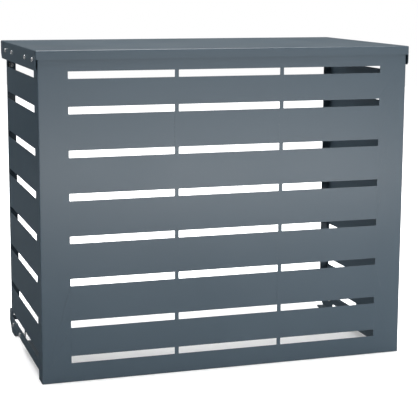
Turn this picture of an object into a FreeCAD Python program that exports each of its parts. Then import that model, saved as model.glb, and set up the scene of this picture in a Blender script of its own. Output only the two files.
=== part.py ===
"""Open-backed slotted sheet-metal cover for an outdoor unit or a standby generator.

A folded front panel and two folded side panels stand on the floor and on two rear
feet, and a folded lid is screwed down over them. The back and the bottom are open.
Millimetres, +Z up, +Y towards the open back. The origin is on the floor, at the
centre of the footprint. Inside this file Y is counted from the front panel's outer
face, and save() moves every piece to the centred frame.
"""

import FreeCAD
import Part

import math
import os

Vector = FreeCAD.Vector

# ---- overall sizes ----
BODY_WIDTH = 1000.0
BODY_DEPTH = 500.0
HEIGHT = 850.0
LID_REAR_OVERHANG = 50.0     # the lid reaches this far behind the side panels, to the wall

# ---- sheet and bends ----
SHEET = 1.5
BEND_INNER = 1.5
BEND_OUTER = BEND_INNER + SHEET
BEND_RELIEF = 8.0

# ---- lid ----
LID_CLEARANCE = 4.0          # between a skirt and the front panel or its returns
LID_FRONT_SKIRT = 22.6
LID_SIDE_SKIRT = 50.0
LID_REAR_LIP = 12.0
LID_FRONT_CORNER = 8.0
LID_REAR_CORNER = 14.0
STIFFENER_WIDTH = 60.0
STIFFENER_HEIGHT = 14.0
STIFFENER_BRIM = 15.0

# ---- front panel ----
FRONT_RETURN = 50.0
FRONT_TOP_FLANGE = 20.0
FRONT_BOTTOM_FLANGE = 22.0

# ---- side panels ----
SIDE_FLOOR_GAP = 20.0
SIDE_FRONT_GAP = 2.0         # from the side panel's front edge to the front panel's inner face
SIDE_REAR_FLANGE = 24.0
SIDE_BOTTOM_FLANGE = 48.0
SIDE_TOP_FLANGE = 20.0
FLANGE_GAP = 4.0             # between flanges of neighbouring pieces

# ---- slots ----
SLOT_ROWS = 8
SLOT_HEIGHT = 18.5
SLOT_BOTTOM_ROW = 50.5       # lower edge of the lowest row
SLOT_TOP_DROP = 51.0         # from the lid's underside to the top row's upper edge
SLOT_LOW_PITCH = 93.0        # from the lowest row to the next
SLOT_TOP_PITCH = 88.0        # from the row below the top one to the top one
SLOT_CORNER = 1.2
FRONT_SLOTS = 3
FRONT_SLOT_MARGIN = 76.0
FRONT_SLOT_BRIDGE = 10.5
SIDE_SLOT_FRONT_MARGIN = 2.0     # behind the return that laps the side panel
SIDE_SLOT_REAR_MARGIN = 13.0
SIDE_LOW_BRIDGE = 10.0           # bar that divides the lowest side slot

# ---- brackets and feet ----
PLATE = 3.0
PLATE_BEND_INNER = 1.5
FOOT_HEIGHT = 62.0               # behind the side panel
FOOT_PLATE_TOP = 47.0            # inside the side panel, under the lowest slot
FOOT_PLATE_BOTTOM = 24.0
FOOT_LENGTH = 160.0              # along the side panel, forward from its rear edge
FOOT_HEEL_AHEAD = 45.0           # front of the heel, ahead of the panel's rear edge
FOOT_BASE_LEG = 24.0
FOOT_HEEL_RISE = 26.0
FOOT_HEEL_RUN = 34.0
FOOT_NECK_AHEAD = 8.0            # where the plate steps up, ahead of the panel's rear edge
WALL_TAB = 30.0
BRACKET_HEIGHT = 44.0
BRACKET_TOP_GAP = 1.5
BRACKET_FRONT_LENGTH = 160.0
BRACKET_FRONT_LEG = 40.0
NOTCH_GAP = 4.0                  # round a foot or bracket that passes a flange

# ---- rear rail ----
RAIL_HEIGHT = 80.0              # at the lugs that take the screws
RAIL_WEB = 50.0                 # between the lugs
RAIL_LUG_PAST = 2.0             # a lug's inner edge, past the side panel's rear flange
RAIL_LEG = 30.0
RAIL_END_GAP = 6.0
RAIL_SCREW_DROP = 66.0           # below the lid's underside

# ---- fasteners ----
SCREW_R = 2.95
SCREW_HOLE_R = 3.3
SCREW_HEAD_R = 5.75
SCREW_HEAD_H = 3.3
SCREW_HEAD_ROUND = 2.4
SCREW_SOCKET_AF = 4.0
SCREW_SOCKET_DEPTH = 1.8
NUT_BORE_R = 3.0
NUT_AF = 10.0
NUT_HEIGHT = 5.0
NUT_FLANGE_R = 6.8
NUT_FLANGE_H = 1.4
SPACER_R = 6.0
THREAD_PAST_NUT = 3.0
STUD_R = 2.45
STUD_HOLE_R = 2.8
STUD_BASE_R = 3.2
STUD_BASE_H = 0.6
STUD_BASE_GAP = 0.3
STUD_NUT_BORE_R = 2.5
STUD_NUT_AF = 8.0
STUD_NUT_HEIGHT = 4.5
STUD_NUT_FLANGE_R = 5.8
STUD_NUT_FLANGE_H = 1.2
LID_SCREW_DROP = 24.0            # screw axis below the lid's top
LID_SCREW_EDGE = 35.0            # first and last screw, from the side panel's ends
LID_SCREW_PITCH = 110.0          # between the two screws of one bracket
FOOT_SCREW_Z = 34.0
STUD_EDGE = 26.0                 # stud row behind the front face
STUD_ROWS = 4
STUD_LOW = 100.0                 # lowest stud above the floor
STUD_TOP_DROP = 108.5            # highest stud below the lid's underside
BRACKET_STUD_INSET = 24.0        # from the side panel's inner face
ANCHOR_HOLE_R = 4.5
FLOOR_ANCHOR_INSET = 13.0
FLOOR_ANCHOR_AHEAD = 15.0        # ahead of the side panel's rear edge

# ---- floor pads under the feet ----
PAD_THICKNESS = 2.0
PAD_END = 6.0

# ---- derived planes ----
HALF = BODY_WIDTH / 2
LID_OVERHANG = LID_CLEARANCE + SHEET
LID_HALF = HALF + LID_OVERHANG
LID_FRONT = -LID_OVERHANG
LID_REAR = BODY_DEPTH + LID_REAR_OVERHANG
UNDER_LID = HEIGHT - SHEET
CENTRE_Y = (LID_FRONT + LID_REAR) / 2
RETURN_IN = HALF - SHEET                     # inner face of the front panel's return
SIDE_OUT = RETURN_IN                         # outer face of a side panel
SIDE_IN = SIDE_OUT - SHEET
BRACKET_IN = SIDE_IN - PLATE
SIDE_FRONT = SHEET + SIDE_FRONT_GAP
BRACKET_TOP = UNDER_LID - SHEET - BRACKET_TOP_GAP
BRACKET_LOW = BRACKET_TOP - BRACKET_HEIGHT
LID_SCREW_Z = HEIGHT - LID_SCREW_DROP
FOOT_FRONT = BODY_DEPTH - FOOT_LENGTH
BEYOND = 20.0                                # how far a cutting tool passes the piece


def box(x0, x1, y0, y1, z0, z1):
    """A box between two corners."""
    return Part.makeBox(x1 - x0, y1 - y0, z1 - z0, Vector(x0, y0, z0))


def rod_x(radius, x0, x1, y, z):
    """A cylinder along X."""
    return Part.makeCylinder(radius, x1 - x0, Vector(x0, y, z), Vector(1, 0, 0))


def rod_y(radius, x, y0, y1, z):
    """A cylinder along Y."""
    return Part.makeCylinder(radius, y1 - y0, Vector(x, y0, z), Vector(0, 1, 0))


def rod_z(radius, x, y, z0, z1):
    """A cylinder along Z."""
    return Part.makeCylinder(radius, z1 - z0, Vector(x, y, z0), Vector(0, 0, 1))


def prism_x(points, x0, x1):
    """A prism along X over an outline of (y, z) points."""
    corners = [Vector(x0, y, z) for y, z in points]
    outline = Part.makePolygon(corners + corners[:1])
    return Part.Face(outline).extrude(Vector(x1 - x0, 0, 0))


def hexagon_x(across_flats, x0, x1, y, z):
    """A hexagonal prism along X."""
    radius = across_flats / math.sqrt(3)
    angles = [math.radians(60 * k) for k in range(6)]
    points = [(y + radius * math.cos(a), z + radius * math.sin(a)) for a in angles]
    return prism_x(points, x0, x1)


def mirrored(shape):
    """The same shape on the other side of the X = 0 plane."""
    return shape.mirror(Vector(0, 0, 0), Vector(1, 0, 0))


def edges_on(solid, tests):
    """The solid's straight edges that lie on both planes of any of the pairs in tests."""
    def on_plane(edge, axis, value):
        return all(abs(getattr(v.Point, axis) - value) < 1e-6 for v in edge.Vertexes)
    return [e for e in solid.Edges
            if any(on_plane(e, *first) and on_plane(e, *second) for first, second in tests)]


def folded(x0, x1, y0, y1, z0, z1, walls, bends):
    """A folded sheet: a box shell with rounded bends.

    walls names the sides of the box that are sheet. bends pairs the planes, by name,
    whose shared edge is a bend.
    """
    planes = {"x0": ("x", x0), "x1": ("x", x1), "y0": ("y", y0),
              "y1": ("y", y1), "z0": ("z", z0), "z1": ("z", z1)}
    outer = box(x0, x1, y0, y1, z0, z1)
    outer = outer.makeFillet(BEND_OUTER, edges_on(outer, [(planes[a], planes[b]) for a, b in bends]))
    shift = {name: SHEET if name in walls else -BEYOND for name in planes}
    ix0, ix1 = x0 + shift["x0"], x1 - shift["x1"]
    iy0, iy1 = y0 + shift["y0"], y1 - shift["y1"]
    iz0, iz1 = z0 + shift["z0"], z1 - shift["z1"]
    inner_planes = {"x0": ("x", ix0), "x1": ("x", ix1), "y0": ("y", iy0),
                    "y1": ("y", iy1), "z0": ("z", iz0), "z1": ("z", iz1)}
    inner = box(ix0, ix1, iy0, iy1, iz0, iz1)
    pairs = [(inner_planes[a], inner_planes[b]) for a, b in bends]
    inner = inner.makeFillet(BEND_INNER, edges_on(inner, pairs))
    return outer.cut(inner)


def slot_x(x0, x1, y0, y1, z0, z1):
    """Cutter of a slot that runs along X and is cut through along Y."""
    cutter = box(x0, x1, y0, y1, z0, z1)
    return cutter.makeFillet(SLOT_CORNER, [e for e in cutter.Edges if e.BoundBox.YLength > y1 - y0 - 1])


def slot_y(x0, x1, y0, y1, z0, z1):
    """Cutter of a slot that runs along Y and is cut through along X."""
    cutter = box(x0, x1, y0, y1, z0, z1)
    return cutter.makeFillet(SLOT_CORNER, [e for e in cutter.Edges if e.BoundBox.XLength > x1 - x0 - 1])


def bent(shape, outer, inner):
    """Round a bend's outer and inner edge, each given as two (axis, value) planes."""
    shape = shape.makeFillet(PLATE_BEND_INNER + PLATE, edges_on(shape, [outer]))
    return shape.makeFillet(PLATE_BEND_INNER, edges_on(shape, [inner]))


def row_heights():
    """Lower edges of the slot rows, from the lowest up."""
    top = UNDER_LID - SLOT_TOP_DROP - SLOT_HEIGHT
    second, last = SLOT_BOTTOM_ROW + SLOT_LOW_PITCH, top - SLOT_TOP_PITCH
    pitch = (last - second) / (SLOT_ROWS - 3)
    middle = [second + pitch * row for row in range(SLOT_ROWS - 2)]
    return [SLOT_BOTTOM_ROW] + middle + [top]


def lid_screw_depths():
    """Y of the lid screws of one side."""
    last = BODY_DEPTH - LID_SCREW_EDGE
    return [LID_SCREW_EDGE, LID_SCREW_EDGE + LID_SCREW_PITCH, last - LID_SCREW_PITCH, last]


def foot_screw_depths():
    """Y of the screws of one rear foot."""
    last = BODY_DEPTH - LID_SCREW_EDGE
    return [last - LID_SCREW_PITCH, last]


def stud_heights():
    """Z of the studs that join the front panel's return to a side panel."""
    step = (UNDER_LID - STUD_TOP_DROP - STUD_LOW) / (STUD_ROWS - 1)
    return [STUD_LOW + step * row for row in range(STUD_ROWS)]


def bracket_stud_x():
    """X of the stud that joins a front bracket to the front panel, on the left."""
    return -(SIDE_IN - BRACKET_STUD_INSET)


def bracket_stud_z():
    """Z of the stud that joins a front bracket to the front panel."""
    return (BRACKET_LOW + BRACKET_TOP) / 2


# ---------------------------------------------------------------- sheet pieces

def front_panel():
    """Front panel with side returns, a top flange, a bottom flange and three slots a row."""
    shape = folded(-HALF, HALF, 0, FRONT_RETURN, 0, UNDER_LID, ("x0", "x1", "y0", "z0", "z1"),
                   (("x0", "y0"), ("x1", "y0"), ("y0", "z0"), ("y0", "z1")))
    deep = FRONT_RETURN + BEYOND
    inside = RETURN_IN
    low, high = BEND_OUTER, UNDER_LID - BEND_OUTER
    top_end = SIDE_IN - SIDE_TOP_FLANGE - FLANGE_GAP
    bottom_end = inside - BEND_RELIEF
    cuts = [box(-inside, inside, FRONT_BOTTOM_FLANGE, deep, -BEYOND, low),
            box(-inside, inside, FRONT_TOP_FLANGE, deep, high, HEIGHT + BEYOND)]
    for near, far in ((-inside, -bottom_end), (bottom_end, inside)):
        cuts.append(box(near, far, BEND_OUTER, deep, -BEYOND, low))
    for near, far in ((-inside, -top_end), (top_end, inside)):
        cuts.append(box(near, far, BEND_OUTER, deep, high, HEIGHT + BEYOND))
    clear = BODY_WIDTH - 2 * FRONT_SLOT_MARGIN - (FRONT_SLOTS - 1) * FRONT_SLOT_BRIDGE
    length = clear / FRONT_SLOTS
    for z in row_heights():
        for column in range(FRONT_SLOTS):
            x = -HALF + FRONT_SLOT_MARGIN + column * (length + FRONT_SLOT_BRIDGE)
            cuts.append(slot_x(x, x + length, -BEYOND, SHEET + BEYOND / 2, z, z + SLOT_HEIGHT))
    for x in (-HALF - BEYOND, RETURN_IN - BEYOND):
        cuts.append(rod_x(SCREW_HOLE_R, x, x + 2 * BEYOND, LID_SCREW_EDGE, LID_SCREW_Z))
    return shape.cut(cuts).removeSplitter()


def left_side_panel():
    """Left side panel with top, bottom and rear flanges and one long slot a row."""
    shape = folded(-SIDE_OUT, -SIDE_OUT + SIDE_BOTTOM_FLANGE, SIDE_FRONT - BEYOND, BODY_DEPTH,
                   SIDE_FLOOR_GAP, UNDER_LID, ("x0", "y1", "z0", "z1"),
                   (("x0", "z0"), ("x0", "z1"), ("x0", "y1")))
    flange_x = -SIDE_OUT + SIDE_REAR_FLANGE
    top_x = -SIDE_OUT + SIDE_TOP_FLANGE
    past_x = -SIDE_OUT + SIDE_BOTTOM_FLANGE + BEYOND
    bend_x = -SIDE_OUT + BEND_OUTER
    rear, low, high = BODY_DEPTH - BEND_OUTER, SIDE_FLOOR_GAP + BEND_OUTER, UNDER_LID - BEND_OUTER
    out_x = -SIDE_OUT - BEYOND
    foot_top = FOOT_HEIGHT + NOTCH_GAP
    bracket_low = BRACKET_LOW - NOTCH_GAP
    cuts = [
        box(out_x, past_x, -BEYOND, SIDE_FRONT, 0, HEIGHT),
        box(flange_x, past_x, rear, BODY_DEPTH + BEYOND, 0, HEIGHT),
        box(top_x, past_x, -BEYOND, BODY_DEPTH + BEYOND, high, HEIGHT),
        box(bend_x, past_x, -BEYOND, FRONT_TOP_FLANGE + FLANGE_GAP, high, HEIGHT),
        box(bend_x, past_x, rear - BEND_RELIEF, BODY_DEPTH + BEYOND, high, HEIGHT),
        box(bend_x, past_x, FOOT_FRONT - NOTCH_GAP, BODY_DEPTH + BEYOND, 0, foot_top),
        box(out_x, past_x, FOOT_FRONT - NOTCH_GAP, BODY_DEPTH + BEYOND, 0, low),
        box(out_x, past_x, rear, BODY_DEPTH + BEYOND, 0, foot_top),
        box(out_x, past_x, rear, BODY_DEPTH + BEYOND, bracket_low, HEIGHT),
    ]
    slot_front = FRONT_RETURN + SIDE_SLOT_FRONT_MARGIN
    slot_rear = BODY_DEPTH - SIDE_SLOT_REAR_MARGIN
    middle = (slot_front + slot_rear) / 2
    lowest = row_heights()[0]
    for z in row_heights():
        spans = [(slot_front, slot_rear)]
        if z == lowest:
            spans = [(slot_front, middle - SIDE_LOW_BRIDGE / 2), (middle + SIDE_LOW_BRIDGE / 2, slot_rear)]
        for y0, y1 in spans:
            cuts.append(slot_y(out_x, -SIDE_IN + BEYOND / 4, y0, y1, z, z + SLOT_HEIGHT))
    for y in lid_screw_depths():
        cuts.append(rod_x(SCREW_HOLE_R, out_x, bend_x, y, LID_SCREW_Z))
    for y in foot_screw_depths():
        cuts.append(rod_x(SCREW_HOLE_R, out_x, bend_x, y, FOOT_SCREW_Z))
    for z in stud_heights():
        cuts.append(rod_x(STUD_HOLE_R, out_x, bend_x, STUD_EDGE, z))
    rail_x = -SIDE_OUT + (SIDE_REAR_FLANGE + BEND_OUTER) / 2
    cuts.append(rod_y(SCREW_HOLE_R, rail_x, BODY_DEPTH - BEYOND, BODY_DEPTH + BEYOND,
                      UNDER_LID - RAIL_SCREW_DROP))
    return shape.cut(cuts).removeSplitter()


def lid():
    """Lid with a low front skirt, deep side skirts with cut corners, and a rear lip."""
    shape = folded(-LID_HALF, LID_HALF, LID_FRONT, LID_REAR, HEIGHT - LID_SIDE_SKIRT, HEIGHT,
                   ("x0", "x1", "y0", "y1", "z1"),
                   (("x0", "z1"), ("x1", "z1"), ("y0", "z1"), ("y1", "z1"),
                    ("x0", "y0"), ("x1", "y0")))
    low = HEIGHT - LID_SIDE_SKIRT - BEYOND
    inner = LID_HALF - SHEET
    cuts = [box(-inner, inner, LID_FRONT - BEYOND, LID_FRONT + BEYOND, low, HEIGHT - LID_FRONT_SKIRT),
            box(-inner, inner, LID_REAR - BEYOND, LID_REAR + BEYOND, low, HEIGHT - LID_REAR_LIP)]
    bottom = HEIGHT - LID_SIDE_SKIRT
    front_cut = [(LID_FRONT - BEYOND, low), (LID_FRONT - BEYOND, bottom + LID_FRONT_CORNER + BEYOND),
                 (LID_FRONT + LID_FRONT_CORNER + BEYOND, low)]
    rear_cut = [(LID_REAR + BEYOND, low), (LID_REAR + BEYOND, bottom + LID_REAR_CORNER + BEYOND),
                (LID_REAR - LID_REAR_CORNER - BEYOND, low)]
    for outline in (front_cut, rear_cut):
        cuts.append(prism_x(outline, -LID_HALF - BEYOND, LID_HALF + BEYOND))
    for y in lid_screw_depths():
        for x in (-LID_HALF - BEYOND / 2, LID_HALF - BEYOND / 2):
            cuts.append(rod_x(SCREW_HOLE_R, x, x + BEYOND, y, LID_SCREW_Z))
    return shape.cut(cuts).removeSplitter()


def lid_stiffener():
    """Hat section under the lid, from side to side at mid-depth."""
    end = SIDE_IN - SIDE_TOP_FLANGE - FLANGE_GAP
    middle = (LID_FRONT + LID_REAR) / 2
    half, brim, top = STIFFENER_WIDTH / 2, STIFFENER_BRIM, UNDER_LID
    base = top - STIFFENER_HEIGHT
    outline = [(middle - half - brim, top), (middle - half + SHEET, top),
               (middle - half + SHEET, base + SHEET), (middle + half - SHEET, base + SHEET),
               (middle + half - SHEET, top), (middle + half + brim, top),
               (middle + half + brim, top - SHEET), (middle + half, top - SHEET),
               (middle + half, base), (middle - half, base),
               (middle - half, top - SHEET), (middle - half - brim, top - SHEET)]
    return prism_x(outline, -end, end)


def rear_top_rail():
    """Angle between the side panels' rear flanges, with a lug for each screw."""
    end = SIDE_IN - PLATE - RAIL_END_GAP
    rear = BODY_DEPTH - SHEET
    high = UNDER_LID
    upright = box(-end, end, rear - SHEET, rear, high - RAIL_HEIGHT, high)
    leg_end = SIDE_IN - SIDE_TOP_FLANGE - FLANGE_GAP
    leg = box(-leg_end, leg_end, rear - RAIL_LEG, rear, high - SHEET, high)
    shape = upright.fuse(leg)
    rail_x = SIDE_OUT - (SIDE_REAR_FLANGE + BEND_OUTER) / 2
    lug = SIDE_OUT - SIDE_REAR_FLANGE - RAIL_LUG_PAST
    cuts = [rod_y(SCREW_HOLE_R, x, rear - BEYOND, rear + BEYOND, UNDER_LID - RAIL_SCREW_DROP)
            for x in (-rail_x, rail_x)]
    top_notch = UNDER_LID - SHEET - BRACKET_TOP_GAP
    for near, far in ((-end - BEYOND, -leg_end), (leg_end, end + BEYOND)):
        cuts.append(box(near, far, rear - BEYOND, rear + BEYOND, top_notch, HEIGHT))
    cuts.append(box(-lug, lug, rear - SHEET - BEYOND, rear + BEYOND, 0, high - RAIL_WEB))
    return shape.cut(cuts).removeSplitter()


# ---------------------------------------------------------------- brackets and feet

def left_front_bracket():
    """Angle plate in the top front corner: one leg on the side panel, one on the front panel."""
    side = box(-SIDE_IN, -BRACKET_IN, SHEET, BRACKET_FRONT_LENGTH, BRACKET_LOW, BRACKET_TOP)
    front = box(-SIDE_IN, -SIDE_IN + BRACKET_FRONT_LEG, SHEET, SHEET + PLATE, BRACKET_LOW, BRACKET_TOP)
    shape = bent(side.fuse(front).removeSplitter(), (("x", -SIDE_IN), ("y", SHEET)),
                 (("x", -BRACKET_IN), ("y", SHEET + PLATE)))
    cuts = [rod_x(SCREW_HOLE_R, -HALF, -BRACKET_IN + BEYOND, y, LID_SCREW_Z)
            for y in lid_screw_depths()[:2]]
    cuts.append(rod_y(STUD_BASE_R + STUD_BASE_GAP, bracket_stud_x(), 0, PLATE + BEYOND, bracket_stud_z()))
    return shape.cut(cuts).removeSplitter()


def left_rear_bracket():
    """Angle plate in the top rear corner, which runs back to a wall tab."""
    front = BODY_DEPTH - BRACKET_FRONT_LENGTH
    wall = LID_REAR - SHEET
    tab_top = BRACKET_TOP - LID_REAR_LIP
    step = wall - 2 * PLATE
    side = prism_x([(front, BRACKET_LOW), (wall, BRACKET_LOW), (wall, tab_top), (step, tab_top),
                    (step - LID_REAR_LIP, BRACKET_TOP), (front, BRACKET_TOP)], -SIDE_IN, -BRACKET_IN)
    tab = box(-SIDE_IN, -SIDE_IN + WALL_TAB, wall - PLATE, wall, BRACKET_LOW, tab_top)
    shape = bent(side.fuse(tab).removeSplitter(), (("x", -SIDE_IN), ("y", wall)),
                 (("x", -BRACKET_IN), ("y", wall - PLATE)))
    cuts = [rod_x(SCREW_HOLE_R, -HALF, -BRACKET_IN + BEYOND, y, LID_SCREW_Z)
            for y in lid_screw_depths()[2:]]
    cuts.append(rod_y(ANCHOR_HOLE_R, wall_anchor_x(), wall - BEYOND, wall + BEYOND, wall_anchor_high()))
    return shape.cut(cuts).removeSplitter()


def wall_anchor_x():
    """X of the wall anchor holes on the left."""
    return -SIDE_IN + (WALL_TAB + PLATE) / 2


def wall_anchor_high():
    """Z of the upper wall anchor holes."""
    return (BRACKET_LOW + BRACKET_TOP - LID_REAR_LIP) / 2


def wall_anchor_low():
    """Z of the lower wall anchor holes."""
    return (FOOT_HEEL_RISE + FOOT_HEIGHT) / 2


def left_rear_foot():
    """Foot plate inside the side panel's low rear corner, with a floor leg and a wall tab."""
    wall = LID_REAR - SHEET
    heel = heel_front()
    neck = BODY_DEPTH - FOOT_NECK_AHEAD
    step = FOOT_HEIGHT - FOOT_PLATE_TOP
    outline = [(FOOT_FRONT, FOOT_PLATE_BOTTOM), (heel - FOOT_PLATE_BOTTOM / 2, FOOT_PLATE_BOTTOM),
               (heel, PAD_THICKNESS), (wall - FOOT_HEEL_RUN, PAD_THICKNESS),
               (wall - 2 * PLATE, FOOT_HEEL_RISE), (wall, FOOT_HEEL_RISE),
               (wall, FOOT_HEIGHT), (neck + step, FOOT_HEIGHT),
               (neck, FOOT_PLATE_TOP), (FOOT_FRONT, FOOT_PLATE_TOP)]
    side = prism_x(outline, -SIDE_IN, -BRACKET_IN)
    leg = box(-SIDE_IN, -SIDE_IN + FOOT_BASE_LEG, heel, wall - FOOT_HEEL_RUN,
              PAD_THICKNESS, PAD_THICKNESS + PLATE)
    tab = box(-SIDE_IN, -SIDE_IN + WALL_TAB, wall - PLATE, wall, FOOT_HEEL_RISE, FOOT_HEIGHT)
    shape = bent(side.fuse([leg, tab]).removeSplitter(), (("x", -SIDE_IN), ("y", wall)),
                 (("x", -BRACKET_IN), ("y", wall - PLATE)))
    cuts = [rod_x(SCREW_HOLE_R, -HALF, -BRACKET_IN + BEYOND, y, FOOT_SCREW_Z)
            for y in foot_screw_depths()]
    cuts.append(rod_y(ANCHOR_HOLE_R, wall_anchor_x(), wall - BEYOND, wall + BEYOND, wall_anchor_low()))
    cuts.append(rod_z(ANCHOR_HOLE_R, floor_anchor_x(), floor_anchor_y(), -BEYOND, BEYOND))
    return shape.cut(cuts).removeSplitter()


def heel_front():
    """Y of the front of a foot's heel and floor leg."""
    return BODY_DEPTH - FOOT_HEEL_AHEAD


def floor_anchor_x():
    """X of the floor anchor hole on the left."""
    return -SIDE_IN + FLOOR_ANCHOR_INSET


def floor_anchor_y():
    """Y of the floor anchor holes."""
    return BODY_DEPTH - FLOOR_ANCHOR_AHEAD


def left_foot_pad():
    """Rubber pad under the floor leg of a rear foot."""
    wall = LID_REAR - SHEET
    pad = box(-SIDE_IN, -SIDE_IN + FOOT_BASE_LEG, heel_front() + PAD_END, wall - FOOT_HEEL_RUN - PAD_END,
              0, PAD_THICKNESS)
    return pad.cut(rod_z(ANCHOR_HOLE_R, floor_anchor_x(), floor_anchor_y(), -BEYOND, BEYOND))


# ---------------------------------------------------------------- fasteners

def button_screw(head_x, tip_x, y, z):
    """Button-head screw along X, with its head outside head_x and a hexagon socket."""
    head = rod_x(SCREW_HEAD_R, head_x - SCREW_HEAD_H, head_x, y, z)
    low = head.BoundBox.XMin
    rim = [e for e in head.Edges if len(e.Vertexes) == 1 and abs(e.Vertexes[0].X - low) < 1e-6]
    head = head.makeFillet(SCREW_HEAD_ROUND, rim)
    top = head_x - SCREW_HEAD_H
    socket = hexagon_x(SCREW_SOCKET_AF, top - 1, top + SCREW_SOCKET_DEPTH, y, z)
    return head.cut(socket).fuse(rod_x(SCREW_R, head_x, tip_x, y, z)).removeSplitter()


def flange_nut_x(face_x, y, z, across_flats, height, flange_r, flange_h, bore_r):
    """Flange nut along X that sits on a face at face_x and points to +X."""
    body = hexagon_x(across_flats, face_x, face_x + height, y, z)
    flange = rod_x(flange_r, face_x, face_x + flange_h, y, z)
    return body.fuse(flange).cut(rod_x(bore_r, face_x - 1, face_x + height + 1, y, z))


def large_nut(face_x, y, z):
    """Flange nut of the lid and foot screws."""
    return flange_nut_x(face_x, y, z, NUT_AF, NUT_HEIGHT, NUT_FLANGE_R, NUT_FLANGE_H, NUT_BORE_R)


def small_nut(face_x, y, z):
    """Flange nut of the studs."""
    return flange_nut_x(face_x, y, z, STUD_NUT_AF, STUD_NUT_HEIGHT, STUD_NUT_FLANGE_R,
                        STUD_NUT_FLANGE_H, STUD_NUT_BORE_R)


def turned_to_y(shape, x, y, z):
    """Turn a fastener modelled along +X at the origin to point along +Y at a place."""
    turned = shape.copy()
    turned.rotate(Vector(0, 0, 0), Vector(0, 0, 1), 90)
    turned.translate(Vector(x, y, z))
    return turned


def left_lid_screws():
    """The lid's screws on the left."""
    tip = -BRACKET_IN + NUT_HEIGHT + THREAD_PAST_NUT
    return [button_screw(-LID_HALF, tip, y, LID_SCREW_Z) for y in lid_screw_depths()]


def left_lid_spacers():
    """Spacers on the lid screws, between the skirt and what it is screwed to."""
    near = -LID_HALF + SHEET
    spacers = []
    for y in lid_screw_depths():
        far = -HALF if y < FRONT_RETURN else -SIDE_OUT
        hole = rod_x(SCREW_HOLE_R, near - 1, far + 1, y, LID_SCREW_Z)
        spacers.append(rod_x(SPACER_R, near, far, y, LID_SCREW_Z).cut(hole))
    return spacers


def left_lid_nuts():
    """The lid screws' nuts, on the brackets' inner faces."""
    return [large_nut(-BRACKET_IN, y, LID_SCREW_Z) for y in lid_screw_depths()]


def left_foot_screws():
    """The rear foot's screws on the left."""
    tip = -BRACKET_IN + NUT_HEIGHT + THREAD_PAST_NUT
    return [button_screw(-SIDE_OUT, tip, y, FOOT_SCREW_Z) for y in foot_screw_depths()]


def left_foot_nuts():
    """The foot screws' nuts."""
    return [large_nut(-BRACKET_IN, y, FOOT_SCREW_Z) for y in foot_screw_depths()]


def weld_stud(face_x, length, y, z):
    """Weld stud along +X that stands on a face at face_x."""
    return rod_x(STUD_R, face_x, face_x + length, y, z)


def left_corner_studs():
    """Studs welded inside the front panel's left return."""
    length = SHEET + STUD_NUT_HEIGHT + THREAD_PAST_NUT
    return [weld_stud(-RETURN_IN, length, STUD_EDGE, z) for z in stud_heights()]


def left_corner_nuts():
    """Nuts of the corner studs, on the side panel's inner face."""
    return [small_nut(-SIDE_IN, STUD_EDGE, z) for z in stud_heights()]


def left_bracket_stud():
    """Stud welded to the front panel's inner face, which holds the front bracket."""
    length = PLATE + STUD_NUT_HEIGHT + THREAD_PAST_NUT
    base = rod_x(STUD_BASE_R, 0, STUD_BASE_H, 0, 0)
    stud = weld_stud(0, length, 0, 0).fuse(base).removeSplitter()
    return turned_to_y(stud, bracket_stud_x(), SHEET, bracket_stud_z())


def left_bracket_nut():
    """Nut of the front bracket's stud."""
    return turned_to_y(small_nut(0, 0, 0), bracket_stud_x(), SHEET + PLATE, bracket_stud_z())


def left_rail_screw():
    """Screw through the side panel's rear flange and the rear rail, head at the back."""
    grip = 2 * SHEET + NUT_HEIGHT + THREAD_PAST_NUT
    screw = button_screw(0, grip, 0, 0)
    screw.rotate(Vector(0, 0, 0), Vector(0, 0, 1), -90)
    screw.translate(Vector(rail_fixing_x(), BODY_DEPTH, UNDER_LID - RAIL_SCREW_DROP))
    return screw


def left_rail_nut():
    """Nut of the rail screw, on the rail's front face."""
    nut = large_nut(0, 0, 0)
    nut.rotate(Vector(0, 0, 0), Vector(0, 0, 1), -90)
    nut.translate(Vector(rail_fixing_x(), BODY_DEPTH - 2 * SHEET, UNDER_LID - RAIL_SCREW_DROP))
    return nut


def rail_fixing_x():
    """X of the rail screw on the left."""
    return -SIDE_OUT + (SIDE_REAR_FLANGE + BEND_OUTER) / 2


# ---------------------------------------------------------------- output

def save(name, shapes):
    """Move a node's solids to the centred frame and write them as one STEP file."""
    moved = []
    for shape in shapes:
        for solid in shape.Solids:
            solid = solid.copy()
            solid.translate(Vector(0, -CENTRE_Y, 0))
            moved.append(solid)
    node = moved[0] if len(moved) == 1 else Part.makeCompound(moved)
    node.exportStep("parts/" + name + ".step")
    print(name, len(moved), "solids", "valid" if node.isValid() else "INVALID")


def save_pair(name, shapes):
    """Write a left node and its mirror image on the right."""
    save("left_" + name, shapes)
    save("right_" + name, [mirrored(shape) for shape in shapes])


def main():
    """Build and write every node."""
    os.makedirs("parts", exist_ok=True)
    save("front_panel", [front_panel()])
    save("lid", [lid()])
    save("lid_stiffener", [lid_stiffener()])
    save("rear_top_rail", [rear_top_rail()])
    save_pair("side_panel", [left_side_panel()])
    save_pair("front_bracket", [left_front_bracket()])
    save_pair("rear_bracket", [left_rear_bracket()])
    save_pair("rear_foot", [left_rear_foot()])
    save_pair("foot_pad", [left_foot_pad()])
    save_pair("lid_screws", left_lid_screws())
    save_pair("lid_spacers", left_lid_spacers())
    save_pair("lid_nuts", left_lid_nuts())
    save_pair("foot_screws", left_foot_screws())
    save_pair("foot_nuts", left_foot_nuts())
    save_pair("corner_studs", left_corner_studs())
    save_pair("corner_nuts", left_corner_nuts())
    save_pair("bracket_stud", [left_bracket_stud()])
    save_pair("bracket_nut", [left_bracket_nut()])
    save_pair("rail_screw", [left_rail_screw()])
    save_pair("rail_nut", [left_rail_nut()])


main()
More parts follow.
